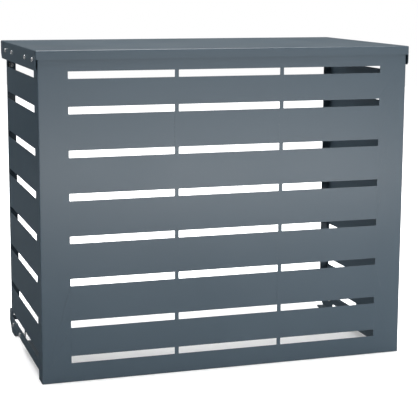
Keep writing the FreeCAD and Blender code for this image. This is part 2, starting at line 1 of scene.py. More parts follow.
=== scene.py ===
"""Looks of a slotted equipment cover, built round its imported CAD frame.

The folded sheets, brackets, feet and pads are the CAD pieces, with the rounded edges that a
powder coat leaves on cut sheet. The screws, studs, nuts and spacers are turned anew with their
threads, sockets and chamfers. Everything is in metres, in the frame of the CAD model.
"""

import logging
import math
from collections.abc import Callable, Sequence
from dataclasses import dataclass
from enum import Enum

import bmesh
import bpy
from mathutils import Matrix, Vector


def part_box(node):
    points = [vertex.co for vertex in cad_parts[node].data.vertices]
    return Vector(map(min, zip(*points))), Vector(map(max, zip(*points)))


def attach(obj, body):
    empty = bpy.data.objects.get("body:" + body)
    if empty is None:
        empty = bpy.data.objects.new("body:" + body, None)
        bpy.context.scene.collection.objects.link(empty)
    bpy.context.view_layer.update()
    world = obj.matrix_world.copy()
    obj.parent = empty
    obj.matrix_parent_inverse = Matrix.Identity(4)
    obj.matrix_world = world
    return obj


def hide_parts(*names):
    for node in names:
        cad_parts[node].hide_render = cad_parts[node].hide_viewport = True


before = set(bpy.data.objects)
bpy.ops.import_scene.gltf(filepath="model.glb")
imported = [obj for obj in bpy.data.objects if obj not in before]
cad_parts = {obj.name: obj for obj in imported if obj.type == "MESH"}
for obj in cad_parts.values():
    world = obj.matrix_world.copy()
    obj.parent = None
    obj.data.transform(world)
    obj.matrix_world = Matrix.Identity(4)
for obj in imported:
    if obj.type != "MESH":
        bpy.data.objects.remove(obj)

LOG = logging.getLogger("cover")
MM = 0.001
BODY = "root"

Colour = tuple[float, float, float, float]
Socket = bpy.types.NodeSocket
Value = float | tuple[float, ...] | Socket
NOISE_RANGE = (0.3, 0.7)
"""Range that most values of a noise fall in."""


class Side(Enum):
    """The two mirrored halves of the cover."""

    LEFT = "left"
    RIGHT = "right"

    @property
    def inward(self) -> Vector:
        """Unit vector from this side's wall towards the middle."""
        return Vector((1.0 if self is Side.LEFT else -1.0, 0.0, 0.0))


class Slot(Enum):
    """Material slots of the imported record."""

    PANELS = "panels"
    BRACKETS = "brackets"
    SCREWS = "screws"
    ZINC = "zinc_hardware"
    SPACERS = "spacers"
    PADS = "pads"


class Tree:
    """Adds nodes to one node tree and links them."""

    def __init__(self, tree: bpy.types.NodeTree) -> None:
        """Keep the tree.

        Args:
            tree: node tree of a material, a world or a group.
        """
        self.tree = tree

    def add(self, kind: str, inputs: dict[str | int, Value] | None = None,
            **settings: object) -> bpy.types.Node:
        """Add one node.

        Args:
            kind: the node's type name.
            inputs: what each input holds, a plain value or the socket that feeds it.
            **settings: the node's own properties.

        Returns:
            The new node.
        """
        node = self.tree.nodes.new(kind)
        for name, setting in settings.items():
            setattr(node, name, setting)
        for name, value in (inputs or {}).items():
            self.feed(node.inputs[name], value)
        return node

    def feed(self, socket: Socket, value: Value) -> None:
        """Give an input a plain value or a link.

        Args:
            socket: the input.
            value: number, colour or the output that feeds it.
        """
        if isinstance(value, Socket):
            self.tree.links.new(value, socket)
        else:
            socket.default_value = value

    def maths(self, operation: str, first: Value, second: Value = 0.0, third: Value = 0.0,
              clamp: bool = False) -> Socket:
        """Work out one number.

        Args:
            operation: name of the Math node's operation.
            first: first number.
            second: second number.
            third: third number, where the operation has one.
            clamp: whether the result is kept from 0 to 1.

        Returns:
            The result.
        """
        node = self.add("ShaderNodeMath", {0: first, 1: second, 2: third},
                        operation=operation, use_clamp=clamp)
        return node.outputs[0]

    def spread(self, value: Value, low: Value, high: Value, to_low: Value = 0.0,
               to_high: Value = 1.0) -> Socket:
        """Map a range onto another, clamped.

        Args:
            value: what is mapped.
            low: lower end of its range.
            high: upper end of its range.
            to_low: what the lower end becomes.
            to_high: what the upper end becomes.

        Returns:
            The mapped value.
        """
        node = self.add("ShaderNodeMapRange", {"Value": value, "From Min": low, "From Max": high,
                                               "To Min": to_low, "To Max": to_high})
        return node.outputs["Result"]

    def blend(self, share: Value, first: Value, second: Value) -> Socket:
        """Mix two colours.

        Args:
            share: how much of the second colour shows.
            first: colour at share 0.
            second: colour at share 1.

        Returns:
            The mixed colour.
        """
        node = self.add("ShaderNodeMix", data_type="RGBA")
        for index, value in ((0, share), (6, first), (7, second)):
            self.feed(node.inputs[index], value)
        return node.outputs[2]

    def scaled(self, colour: Value, share: Value) -> Socket:
        """Multiply a colour by one number.

        Args:
            colour: the colour.
            share: the number.

        Returns:
            The scaled colour.
        """
        node = self.add("ShaderNodeVectorMath", {0: colour, "Scale": share}, operation="SCALE")
        return node.outputs[0]

    def bump(self, height: Socket, distance: float, strength: float,
             normal: Socket | None = None) -> Socket:
        """Tilt the normal by a height.

        Args:
            height: the height, from 0 to 1.
            distance: how deep that is, in metres.
            strength: how much of the tilt shows.
            normal: normal to start from, if not the surface's own.

        Returns:
            The tilted normal.
        """
        node = self.add("ShaderNodeBump", {"Height": height, "Distance": distance,
                                           "Strength": strength})
        if normal is not None:
            self.feed(node.inputs["Normal"], normal)
        return node.outputs[0]

    def noise(self, scale: Value, detail: float,
              stretch: tuple[float, float, float] | None = None) -> Socket:
        """Noise over the surface, from 0 to 1.

        Args:
            scale: cells per metre.
            detail: octaves.
            stretch: scale of each axis, for streaks.

        Returns:
            The noise.
        """
        place = self.add("ShaderNodeTexCoord").outputs["Object"]
        if stretch is not None:
            mapping = {"Vector": place, "Scale": stretch}
            place = self.add("ShaderNodeMapping", mapping).outputs[0]
        node = self.add("ShaderNodeTexNoise", {"Vector": place, "Scale": scale, "Detail": detail})
        return node.outputs[0]


class EffectGroup:
    """A shader node group with named inputs and outputs, shared by several finishes."""

    def __init__(self, name: str, inputs: dict[str, float], outputs: Sequence[str],
                 write: Callable[[Tree, dict[str, Socket]], dict[str, Socket]]) -> None:
        """Build the group once.

        Args:
            name: name of the group.
            inputs: each input and its default.
            outputs: names of the outputs, all plain values.
            write: adds the inner nodes and says which socket feeds each output.
        """
        self.group = bpy.data.node_groups.new(name, "ShaderNodeTree")
        for label, default in inputs.items():
            socket = self.group.interface.new_socket(label, in_out="INPUT",
                                                     socket_type="NodeSocketFloat")
            socket.default_value = default
        for label in outputs:
            self.group.interface.new_socket(label, in_out="OUTPUT",
                                            socket_type="NodeSocketFloat")
        tree = Tree(self.group)
        source = self.group.nodes.new("NodeGroupInput").outputs
        made = write(tree, {label: source[label] for label in inputs})
        tree.add("NodeGroupOutput", made)

    def place(self, tree: Tree, **values: float) -> dict[str, Socket]:
        """Put the group into a material.

        Args:
            tree: the material's tree.
            **values: inputs that differ from the defaults.

        Returns:
            The group's outputs by name.
        """
        node = tree.add("ShaderNodeGroup", node_tree=self.group)
        for name, value in values.items():
            node.inputs[name].default_value = value
        return {socket.name: socket for socket in node.outputs}


def write_coat_grain(tree: Tree, given: dict[str, Socket]) -> dict[str, Socket]:
    """Height of a sprayed and baked coat: a fine grain on a wider peel.

    Args:
        tree: the group's tree.
        given: Grain and Peel in cells per metre, and Grain Share.

    Returns:
        The output Height.
    """
    grain = tree.noise(given["Grain"], 1.0)
    peel = tree.noise(given["Peel"], 2.0)
    fine = tree.maths("MULTIPLY", grain, given["Grain Share"])
    return {"Height": tree.maths("ADD", fine, peel)}


def write_tone_drift(tree: Tree, given: dict[str, Socket]) -> dict[str, Socket]:
    """Slow drift of tone from place to place.

    Args:
        tree: the group's tree.
        given: Patches in cells per metre, and Drift, the most that the tone changes.

    Returns:
        The outputs Tone, about 1, and Patch, from 0 to 1.
    """
    patch = tree.spread(tree.noise(given["Patches"], 3.0), *NOISE_RANGE)
    middle = tree.maths("SUBTRACT", patch, 0.5)
    return {"Tone": tree.maths("MULTIPLY_ADD", middle, given["Drift"], 1.0), "Patch": patch}


def write_edge_wear_and_highlight(tree: Tree, given: dict[str, Socket]) -> dict[str, Socket]:
    """Mask of rubbed edges and of painted edge highlights, broken up along their length.

    Args:
        tree: the group's tree.
        given: Reach in metres, and Breakup in cells per metre.

    Returns:
        The output Mask.
    """
    # Every edge found here is lightened whatever the light: partly coat worn thin, partly a painted
    # edge highlight.
    rounded = tree.add("ShaderNodeBevel", {"Radius": given["Reach"]}, samples=4).outputs[0]
    straight = tree.add("ShaderNodeNewGeometry").outputs["Normal"]
    likeness = tree.add("ShaderNodeVectorMath", {0: rounded, 1: straight},
                        operation="DOT_PRODUCT").outputs["Value"]
    flat, sharp = 0.995, 0.80
    edge = tree.spread(likeness, flat, sharp)
    untouched, bare = 0.42, 0.62
    rubbed_and_highlighted = tree.spread(tree.noise(given["Breakup"], 4.0), untouched, bare)
    return {"Mask": tree.maths("MULTIPLY", edge, rubbed_and_highlighted, clamp=True)}


def write_settled_dust(tree: Tree, given: dict[str, Socket]) -> dict[str, Socket]:
    """Mask of dust on what faces up.

    Args:
        tree: the group's tree.
        given: Amount from 0 to 1, and Patches in cells per metre.

    Returns:
        The output Mask.
    """
    normal = tree.add("ShaderNodeNewGeometry").outputs["Normal"]
    upward = tree.add("ShaderNodeSeparateXYZ", {0: normal}).outputs["Z"]
    slanted, lying = 0.5, 0.98
    level = tree.spread(upward, slanted, lying)
    thin, thick, thinnest = 0.35, 0.75, 0.35
    patch = tree.spread(tree.noise(given["Patches"], 5.0), thin, thick, thinnest, 1.0)
    there = tree.maths("MULTIPLY", level, patch)
    return {"Mask": tree.maths("MULTIPLY", there, given["Amount"], clamp=True)}


class Effects:
    """The shader groups that the finishes share."""

    def __init__(self) -> None:
        """Build every group once."""
        self.grain = EffectGroup("coat_grain", {"Grain": 900.0, "Peel": 260.0, "Grain Share": 0.5},
                                 ["Height"], write_coat_grain)
        self.drift = EffectGroup("tone_drift", {"Patches": 3.0, "Drift": 0.1},
                                 ["Tone", "Patch"], write_tone_drift)
        self.wear_and_highlight = EffectGroup("edge_wear", {"Reach": 0.0008, "Breakup": 40.0},
                                ["Mask"], write_edge_wear_and_highlight)
        self.dust = EffectGroup("settled_dust", {"Amount": 0.2, "Patches": 9.0},
                                ["Mask"], write_settled_dust)


def grey(level: float) -> Colour:
    """Neutral colour of that linear level."""
    return (level, level, level, 1.0)


def new_material(name: str) -> tuple[bpy.types.Material, Tree, bpy.types.Node]:
    """Start a material.

    Args:
        name: name of the material.

    Returns:
        The material, its tree and its Principled shader.
    """
    material = bpy.data.materials.new(name)
    material.use_nodes = True
    return material, Tree(material.node_tree), material.node_tree.nodes["Principled BSDF"]


@dataclass(frozen=True)
class PowderCoat:
    """Satin powder coat on sheet metal."""

    name: str
    colour: Colour
    roughness: float = 0.31
    roughness_swing: float = 0.03
    gloss: float = 0.5
    patches: float = 2.6
    drift: float = 0.08
    grain_height: float = 0.06 * MM
    grain_strength: float = 0.8
    sheet_wave: float = 0.5 * MM
    wave_count: float = 2.4
    wave_stretch: tuple[float, float, float] = (1.0, 1.0, 1.6)
    # Lighter edge colour: coat worn thin, and a painted edge highlight.
    worn_and_highlight: Colour = (0.17, 0.20, 0.22, 1.0)
    wear_and_highlight: float = 0.35
    wear_polish: float = 0.08
    dust: float = 0.10
    dust_colour: Colour = (0.30, 0.30, 0.28, 1.0)
    dust_roughness: float = 0.3

    def build(self, effects: Effects) -> bpy.types.Material:
        """Make the material.

        Args:
            effects: the shared shader groups.

        Returns:
            The material.
        """
        material, tree, shader = new_material(self.name)
        drift = effects.drift.place(tree, Patches=self.patches, Drift=self.drift)
        wear_and_highlight = effects.wear_and_highlight.place(tree)["Mask"]
        dust = effects.dust.place(tree, Amount=self.dust)["Mask"]
        toned = tree.scaled(self.colour[:3], drift["Tone"])
        # Lightens every edge: rubbed coat and painted edge highlight.
        rubbed_and_highlighted = tree.blend(tree.maths("MULTIPLY", wear_and_highlight, self.wear_and_highlight), toned, self.worn_and_highlight)
        tree.feed(shader.inputs["Base Color"], tree.blend(dust, rubbed_and_highlighted, self.dust_colour))
        satin = tree.spread(drift["Patch"], 0.0, 1.0, self.roughness - self.roughness_swing,
                            self.roughness + self.roughness_swing)
        polished = tree.maths("MULTIPLY_ADD", wear_and_highlight, -self.wear_polish, satin)
        tree.feed(shader.inputs["Roughness"],
                  tree.maths("MULTIPLY_ADD", dust, self.dust_roughness, polished))
        grain = effects.grain.place(tree)["Height"]
        wave = tree.noise(self.wave_count, 0.0, self.wave_stretch)
        bowed = tree.bump(wave, self.sheet_wave, 1.0)
        tree.feed(shader.inputs["Normal"],
                  tree.bump(grain, self.grain_height, self.grain_strength, bowed))
        shader.inputs["Specular IOR Level"].default_value = self.gloss
        return material


@dataclass(frozen=True)
class BareMetal:
    """Bright turned or plated metal."""

    name: str
    colour: Colour
    tint: Colour
    roughness: float
    rougher: float = 0.07
    smoother: float = 0.05
    metallic: float = 0.7
    patches: float = 160.0
    drift: float = 0.12
    worn_and_highlight: Colour = grey(0.9)
    wear_and_highlight: float = 0.5
    wear_reach: float = 0.3 * MM
    wear_breakup: float = 500.0
    brush: float = 0.015 * MM
    brush_strength: float = 0.7
    brush_lines: float = 2400.0
    brush_stretch: tuple[float, float, float] = (1.0, 0.15, 0.15)

    def build(self, effects: Effects) -> bpy.types.Material:
        """Make the material.

        Args:
            effects: the shared shader groups.

        Returns:
            The material.
        """
        material, tree, shader = new_material(self.name)
        drift = effects.drift.place(tree, Patches=self.patches, Drift=self.drift)
        wear_and_highlight = effects.wear_and_highlight.place(tree, Reach=self.wear_reach, Breakup=self.wear_breakup)["Mask"]
        cast = tree.blend(drift["Patch"], self.colour, self.tint)
        toned = tree.scaled(cast, drift["Tone"])
        # Lightens every edge: rubbed plating and painted edge glint.
        tree.feed(shader.inputs["Base Color"],
                  tree.blend(tree.maths("MULTIPLY", wear_and_highlight, self.wear_and_highlight), toned, self.worn_and_highlight))
        shader.inputs["Metallic"].default_value = self.metallic
        tree.feed(shader.inputs["Roughness"], tree.spread(
            drift["Patch"], 0.0, 1.0, self.roughness - self.smoother,
            self.roughness + self.rougher))
        lines = tree.noise(self.brush_lines, 1.0, self.brush_stretch)
        tree.feed(shader.inputs["Normal"], tree.bump(lines, self.brush, self.brush_strength))
        return material


@dataclass(frozen=True)
class Moulded:
    """Dark moulded nylon or rubber."""

    name: str
    colour: Colour
    roughness: float
    pores: float
    dust: float
    roughness_swing: float = 0.06
    patches: float = 70.0
    drift: float = 0.3
    dust_patches: float = 60.0
    dust_colour: Colour = grey(0.22)
    pore_grain: float = 2600.0
    pore_peel: float = 700.0
    pore_strength: float = 0.8

    def build(self, effects: Effects) -> bpy.types.Material:
        """Make the material.

        Args:
            effects: the shared shader groups.

        Returns:
            The material.
        """
        material, tree, shader = new_material(self.name)
        drift = effects.drift.place(tree, Patches=self.patches, Drift=self.drift)
        dust = effects.dust.place(tree, Amount=self.dust, Patches=self.dust_patches)["Mask"]
        toned = tree.scaled(self.colour[:3], drift["Tone"])
        tree.feed(shader.inputs["Base Color"], tree.blend(dust, toned, self.dust_colour))
        tree.feed(shader.inputs["Roughness"], tree.spread(
            drift["Patch"], 0.0, 1.0, self.roughness - self.roughness_swing,
            self.roughness + self.roughness_swing))
        pores = effects.grain.place(tree, Grain=self.pore_grain, Peel=self.pore_peel)["Height"]
        tree.feed(shader.inputs["Normal"], tree.bump(pores, self.pores, self.pore_strength))
        return material


class Finishes:
    """One material for each slot of the record."""

    def __init__(self, effects: Effects) -> None:
        """Build the materials.

        Args:
            effects: the shared shader groups.
        """
        made = {
            Slot.PANELS: PowderCoat("anthracite_coat", (0.047, 0.069, 0.089, 1.0)),
            Slot.BRACKETS: PowderCoat("bracket_coat", (0.041, 0.060, 0.077, 1.0), roughness=0.42,
                                      sheet_wave=0.1 * MM, wear_and_highlight=0.45, dust=0.16),
            Slot.SCREWS: BareMetal("stainless_steel", colour=(0.80, 0.81, 0.82, 1.0),
                                   tint=(0.74, 0.75, 0.76, 1.0), roughness=0.24),
            Slot.ZINC: BareMetal("zinc_plate", colour=(0.62, 0.66, 0.70, 1.0),
                                 tint=(0.70, 0.67, 0.58, 1.0), roughness=0.34),
            Slot.SPACERS: Moulded("black_nylon", (0.022, 0.023, 0.025, 1.0), roughness=0.42,
                                  pores=0.02 * MM, dust=0.05),
            Slot.PADS: Moulded("black_rubber", (0.020, 0.020, 0.021, 1.0), roughness=0.78,
                               pores=0.06 * MM, dust=0.3),
        }
        self.materials = {slot: finish.build(effects) for slot, finish in made.items()}

    def paint(self, piece: bpy.types.Object, slot: Slot) -> None:
        """Give a piece the finish of its slot.

        Args:
            piece: the CAD piece or new piece.
            slot: the slot whose finish it takes.
        """
        if piece.data.materials:
            for held in piece.material_slots:
                held.link = "OBJECT"
                held.material = self.materials[slot]
        else:
            piece.data.materials.append(self.materials[slot])


@dataclass(frozen=True)
class CoatedEdge:
    """The small round that a coat leaves on a cut edge of sheet or plate."""

    radius: float = 0.3 * MM
    rings: int = 2
    sharper_than: float = math.radians(40.0)
    joined_within: float = 0.001 * MM
    face_weight: int = 100

    def dress(self, node: str, slot: Slot, finishes: Finishes) -> None:
        """Round the edges of a CAD piece and paint it.

        Args:
            node: name of the CAD node.
            slot: the slot whose finish it takes.
            finishes: the materials.
        """
        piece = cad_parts[node]
        weld = piece.modifiers.new("joined_faces", "WELD")
        weld.merge_threshold = self.joined_within
        bevel = piece.modifiers.new("coated_edges", "BEVEL")
        bevel.width = self.radius
        bevel.segments = self.rings
        bevel.limit_method = "ANGLE"
        bevel.angle_limit = self.sharper_than
        flat = piece.modifiers.new("flat_faces", "WEIGHTED_NORMAL")
        flat.weight = self.face_weight
        flat.keep_sharp = False
        finishes.paint(piece, slot)
        LOG.info("dressed %s", node)


RingPoint = Callable[[float], tuple[float, float]]


def round_ring(height: float, radius: float) -> RingPoint:
    """Ring of one radius.

    Args:
        height: place along the axis.
        radius: its radius.

    Returns:
        Function from an angle to (height, radius).
    """
    return lambda angle: (height, radius)


def hex_ring(height: float, across: float, largest: float = math.inf) -> RingPoint:
    """Six-sided ring, whose corners may be turned off to a circle.

    Args:
        height: place along the axis.
        across: width across flats.
        largest: radius that the corners are turned to.

    Returns:
        Function from an angle to (height, radius).
    """
    sixth = math.pi / 3

    def point(angle: float) -> tuple[float, float]:
        """Point of the ring at an angle."""
        off = (angle + sixth / 2) % sixth - sixth / 2
        corner = across / 2 / math.cos(sixth / 2 - abs(off))
        return height, min(corner, largest)

    return point


@dataclass(frozen=True)
class Thread:
    """Metric thread, the same on a screw and in its nut."""

    outer_radius: float
    pitch: float
    steps: int = 6
    depth_share: float = 0.61
    flank_slope: float = 2.6

    @property
    def depth(self) -> float:
        """Height of the thread's profile."""
        return self.depth_share * self.pitch

    def radius(self, height: float, angle: float, clearance: float = 0.0) -> float:
        """Radius of the thread's surface.

        Args:
            height: place along the axis.
            angle: place round the axis.
            clearance: how far a nut's thread stands off.

        Returns:
            The radius there.
        """
        turn = (height / self.pitch - angle / math.tau) % 1.0
        ramp = min(abs(turn - 0.5) * self.flank_slope, 1.0)
        return self.outer_radius - self.depth * (1.0 - ramp) + clearance

    def rings(self, start: float, end: float, clearance: float = 0.0,
              limit: Callable[[float], float] | None = None) -> list[RingPoint]:
        """Rings of a threaded stretch.

        Args:
            start: where it starts along the axis.
            end: where it ends.
            clearance: how far a nut's thread stands off.
            limit: largest radius at a height, for a pointed end.

        Returns:
            Its rings, in order.
        """
        count = max(2, round(abs(end - start) / self.pitch * self.steps))
        made = []
        for index in range(count + 1):
            height = start + (end - start) * index / count

            def point(angle: float, height: float = height) -> tuple[float, float]:
                """Point of the thread at an angle."""
                radius = self.radius(height, angle, clearance)
                return height, min(radius, limit(height)) if limit else radius

            made.append(point)
        return made


M6 = Thread(2.95 * MM, 1.0 * MM)
M5 = Thread(2.45 * MM, 0.8 * MM)


class TurnedPiece:
    """Mesh of pieces made of rings round an axis, several to one object."""

    def __init__(self, name: str, segments: int = 36) -> None:
        """Start an empty mesh.

        Args:
            name: name of the piece.
            segments: points of each ring, a multiple of six.
        """
        self.name = name
        self.segments = segments
        self.mesh = bmesh.new()

    def turn(self, rings: Sequence[RingPoint], place: Matrix, tube: bool = False) -> None:
        """Add one turned solid.

        Args:
            rings: its rings from one end to the other.
            place: where its axis goes.
            tube: whether the last ring joins the first, as round a bore.
        """
        rows = []
        for ring in rings:
            row = []
            for step in range(self.segments):
                angle = math.tau * step / self.segments
                height, radius = ring(angle)
                local = Vector((radius * math.cos(angle), radius * math.sin(angle), height))
                row.append(self.mesh.verts.new(place @ local))
            rows.append(row)
        pairs = list(zip(rows, rows[1:]))
        if tube:
            pairs.append((rows[-1], rows[0]))
        for lower, upper in pairs:
            for step in range(self.segments):
                after = (step + 1) % self.segments
                self.mesh.faces.new((lower[step], lower[after], upper[after], upper[step]))
        if not tube:
            self.mesh.faces.new(tuple(reversed(rows[0])))
            self.mesh.faces.new(tuple(rows[-1]))

    def finish(self, slot: Slot, finishes: Finishes, replaced: str,
               crease: float = math.radians(38.0)) -> None:
        """Make the object, which stands for a CAD node.

        Args:
            slot: the slot whose finish it takes.
            finishes: the materials.
            replaced: the CAD node that it stands for.
            crease: edges sharper than this stay crisp.
        """
        bmesh.ops.recalc_face_normals(self.mesh, faces=self.mesh.faces)
        data = bpy.data.meshes.new(self.name)
        self.mesh.to_mesh(data)
        self.mesh.free()
        data.shade_smooth()
        data.set_sharp_from_angle(angle=crease)
        piece = bpy.data.objects.new(self.name, data)
        bpy.context.scene.collection.objects.link(piece)
        finishes.paint(piece, slot)
        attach(piece, BODY)
        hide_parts(replaced)
        LOG.info("turned %s for %s, %d faces", self.name, replaced, len(data.polygons))


def axis_place(point: Vector, along: Vector) -> Matrix:
    """Place whose local Z runs along a direction.

    Args:
        point: origin of the place.
        along: direction of its Z.

    Returns:
        The matrix.
    """
    return Matrix.Translation(point) @ along.to_track_quat("Z", "Y").to_matrix().to_4x4()


@dataclass(frozen=True)
class ButtonScrew:
    """M6 button head screw with a hexagon socket. Its seat is at height 0."""

    head_radius: float = 5.75 * MM
    head_height: float = 3.3 * MM
    edge_height: float = 0.7 * MM
    face_radius: float = 2.9 * MM
    socket: float = 4.0 * MM
    socket_depth: float = 1.8 * MM
    socket_chamfer: float = 0.18 * MM
    drill_depth: float = 0.5 * MM
    drill_radius: float = 0.05 * MM
    dome_steps: int = 7
    seat_edge: float = 0.15 * MM
    thread: Thread = M6
    neck: float = 1.2 * MM
    neck_shoulder: float = 0.6
    neck_cut: float = 0.1 * MM
    point: float = 0.9 * MM

    def rings(self, length: float) -> list[RingPoint]:
        """Rings from the socket's floor, over the head, to the point.

        Args:
            length: from the seat to the tip.

        Returns:
            The rings.
        """
        top = -self.head_height
        outer = self.thread.outer_radius
        made = [round_ring(top + self.socket_depth + self.drill_depth, self.drill_radius),
                hex_ring(top + self.socket_depth, self.socket),
                hex_ring(top + self.socket_chamfer, self.socket),
                hex_ring(top, self.socket + 2 * self.socket_chamfer)]
        rise = self.head_height - self.edge_height
        for index in range(self.dome_steps + 1):
            angle = math.pi / 2 * index / self.dome_steps
            radius = self.face_radius + (self.head_radius - self.face_radius) * math.sin(angle)
            made.append(round_ring(top + rise * (1.0 - math.cos(angle)), radius))
        made += [round_ring(-self.seat_edge, self.head_radius),
                 round_ring(0.0, self.head_radius - self.seat_edge),
                 round_ring(0.0, outer),
                 round_ring(self.neck * self.neck_shoulder, outer - self.neck_cut)]
        tip = outer - self.point
        return made + self.thread.rings(self.neck, length,
                                        limit=lambda height: tip + (length - height))


@dataclass(frozen=True)
class WeldStud:
    """Threaded stud that is welded to a sheet by its base. The sheet's face is at height 0."""

    thread: Thread = M5
    foot_share: float = 0.6
    base_radius: float = 3.2 * MM
    base_height: float = 0.6 * MM
    base_shoulder: float = 0.6
    base_round: float = 0.2 * MM
    run_out: float = 0.3 * MM
    lead: float = 1.1 * MM
    lead_slope: float = 0.7

    def rings(self, length: float, with_base: bool) -> list[RingPoint]:
        """Rings from the weld to the tip.

        Args:
            length: from the sheet to the tip.
            with_base: whether it has the wide base.

        Returns:
            The rings.
        """
        radius = self.thread.outer_radius
        made = [round_ring(0.0, self.foot_share * radius)]
        if with_base:
            made += [round_ring(0.0, self.base_radius),
                     round_ring(self.base_height * self.base_shoulder, self.base_radius),
                     round_ring(self.base_height, self.base_radius - self.base_round),
                     round_ring(self.base_height, radius)]
        else:
            made.append(round_ring(0.0, radius))
        start = self.base_height + self.run_out
        tip = radius - self.lead * self.lead_slope
        return made + self.thread.rings(
            start, length, limit=lambda height: tip + self.lead_slope * (length - height))


@dataclass(frozen=True)
class FlangeNut:
    """Hexagon nut with a serrated flange, on the same axis and thread as its screw."""

    across: float
    height: float
    flange_radius: float
    flange_height: float
    thread: Thread
    serrations: int = 18
    tooth: float = 0.14 * MM
    tooth_start: float = 0.9 * MM
    bearing_relief: float = 0.5 * MM
    rim_round: float = 0.15 * MM
    rim_low: float = 0.3 * MM
    rim_shoulder: float = 0.6
    flange_fall: float = 0.5 * MM
    flange_fillet: float = 0.15 * MM
    crown_start: float = 0.55 * MM
    crown_middle: float = 0.25 * MM
    crown_cut: float = 0.35 * MM
    top_cut: float = 0.1 * MM
    bore_gap: float = 0.05 * MM
    bore_mouth: float = 0.25 * MM
    thread_top: float = 0.3 * MM
    thread_low: float = 0.4 * MM

    def rings(self, seat: float) -> list[RingPoint]:
        """Closed set of rings, up the outside and back through the bore.

        Args:
            seat: height of its bearing face on the screw's axis.

        Returns:
            The rings.
        """
        rim = self.flange_radius
        bore = self.thread.outer_radius + self.bore_gap
        flange = seat + self.flange_height
        top = seat + self.height
        corner = self.across / 2 / math.cos(math.pi / 6)

        def toothed(radius: float) -> RingPoint:
            """Ring of the bearing face, whose teeth bite into the sheet."""
            return lambda angle: (
                seat + self.tooth * abs(math.sin(angle * self.serrations / 2)) ** 0.5, radius)

        outside = [round_ring(seat + self.tooth, bore + self.bearing_relief),
                   toothed(bore + self.tooth_start),
                   toothed(rim - self.rim_round),
                   round_ring(seat + self.rim_low, rim),
                   round_ring(seat + self.flange_height * self.rim_shoulder, rim),
                   round_ring(flange, rim - self.flange_fall),
                   hex_ring(flange + self.flange_fillet, self.across, corner),
                   hex_ring(top - self.crown_start, self.across, corner),
                   hex_ring(top - self.crown_middle, self.across, corner - self.crown_cut),
                   hex_ring(top, self.across - self.top_cut, (self.across - self.top_cut) / 2),
                   round_ring(top, bore + self.bore_mouth)]
        return outside + self.thread.rings(top - self.thread_top, seat + self.thread_low,
                                           clearance=self.bore_gap)


@dataclass(frozen=True)
class Spacer:
    """Turned nylon spacer between two sheets."""

    radius: float = 6.0 * MM
    bore: float = 3.3 * MM
    chamfer: float = 0.5 * MM
    bore_chamfer: float = 0.2 * MM
    groove: float = 0.35 * MM
    groove_half: float = 0.5 * MM
    groove_floor_half: float = 0.3 * MM

    def rings(self, length: float) -> list[RingPoint]:
        """Closed set of rings of a spacer that starts at height 0.

        Args:
            length: how far apart it holds the sheets.

        Returns:
            The rings.
        """
        cut, mouth = self.chamfer, self.bore_chamfer
        middle = length / 2
        outline = ((0.0, self.bore + mouth), (0.0, self.radius - cut), (cut, self.radius),
                   (middle - self.groove_half, self.radius),
                   (middle - self.groove_floor_half, self.radius - self.groove),
                   (middle + self.groove_floor_half, self.radius - self.groove),
                   (middle + self.groove_half, self.radius),
                   (length - cut, self.radius), (length, self.radius - cut),
                   (length, self.bore + mouth), (length - mouth, self.bore), (mouth, self.bore))
        return [round_ring(height, radius) for height, radius in outline]


class Axis(Enum):
    """Axes that a row of fasteners runs along, by their index in the frame."""

    Y = 1
    Z = 2


@dataclass(frozen=True)
class FastenerRow:
    """Fasteners of one CAD node, which share a direction."""

    node: str
    inward: Vector
    centres: tuple[Vector, ...]

    @property
    def axis(self) -> int:
        """Index of the axis that the fasteners lie along."""
        return max(range(3), key=lambda index: abs(self.inward[index]))

    @property
    def span(self) -> tuple[float, float]:
        """Where the node starts and ends along the way in, as signed distances."""
        low, high = (corner[self.axis] * self.inward[self.axis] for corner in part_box(self.node))
        return min(low, high), max(low, high)

    def places(self, distance: float) -> list[Matrix]:
        """Places on the axes at a signed distance along the way in.

        Args:
            distance: the distance, as in span.

        Returns:
            One matrix for each fastener.
        """
        made = []
        for centre in self.centres:
            point = centre.copy()
            point[self.axis] = distance * self.inward[self.axis]
            made.append(axis_place(point, self.inward))
        return made

    def turn(self, distance: float, rings: Sequence[RingPoint], slot: Slot, finishes: Finishes,
             tube: bool = False) -> None:
        """Turn one solid for each fastener, as one piece in place of the CAD node.

        Args:
            distance: where height 0 of the rings goes, as in span.
            rings: rings of one solid.
            slot: the slot whose finish the piece takes.
            finishes: the materials.
            tube: whether the last ring joins the first.
        """
        turned = TurnedPiece(self.node + "_turned")
        for place in self.places(distance):
            turned.turn(rings, place, tube)
        turned.finish(slot, finishes, self.node)


def centres_between(node: str, run: Axis, edge: float, count: int) -> tuple[Vector, ...]:
    """Axes of equal spacing along a CAD node.

    Args:
        node: name of the node.
        run: axis that the fasteners are spread along.
        edge: from the node's end to the first fastener's axis.
        count: how many there are.

    Returns:
        A point on each fastener's axis.
    """
    low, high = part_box(node)
    made = []
    for index in range(count):
        centre = (low + high) / 2
        if count > 1:
            share = index / (count - 1)
            first, last = low[run.value] + edge, high[run.value] - edge
            centre[run.value] = first + (last - first) * share
        made.append(centre)
    return tuple(made)


def paired_centres(node: str, edge: float, pitch: float) -> tuple[Vector, ...]:
    """Axes of two pairs of screws, one pair at each end of a CAD node along Y.

    Args:
        node: name of the node.
        edge: from the node's end to the first axis.
        pitch: between the two screws of a pair.

    Returns:
        A point on each screw's axis.
    """
    low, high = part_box(node)
    first, last = low.y + edge, high.y - edge
    middle = (low + high) / 2
    along = (first, first + pitch, last - pitch, last)
    return tuple(Vector((middle.x, y, middle.z)) for y in along)


LARGE_NUT = FlangeNut(across=10.0 * MM, height=5.0 * MM, flange_radius=6.8 * MM,
                      flange_height=1.4 * MM, thread=M6)
SMALL_NUT = FlangeNut(across=8.0 * MM, height=4.5 * MM, flange_radius=5.8 * MM,
                      flange_height=1.2 * MM, thread=M5)


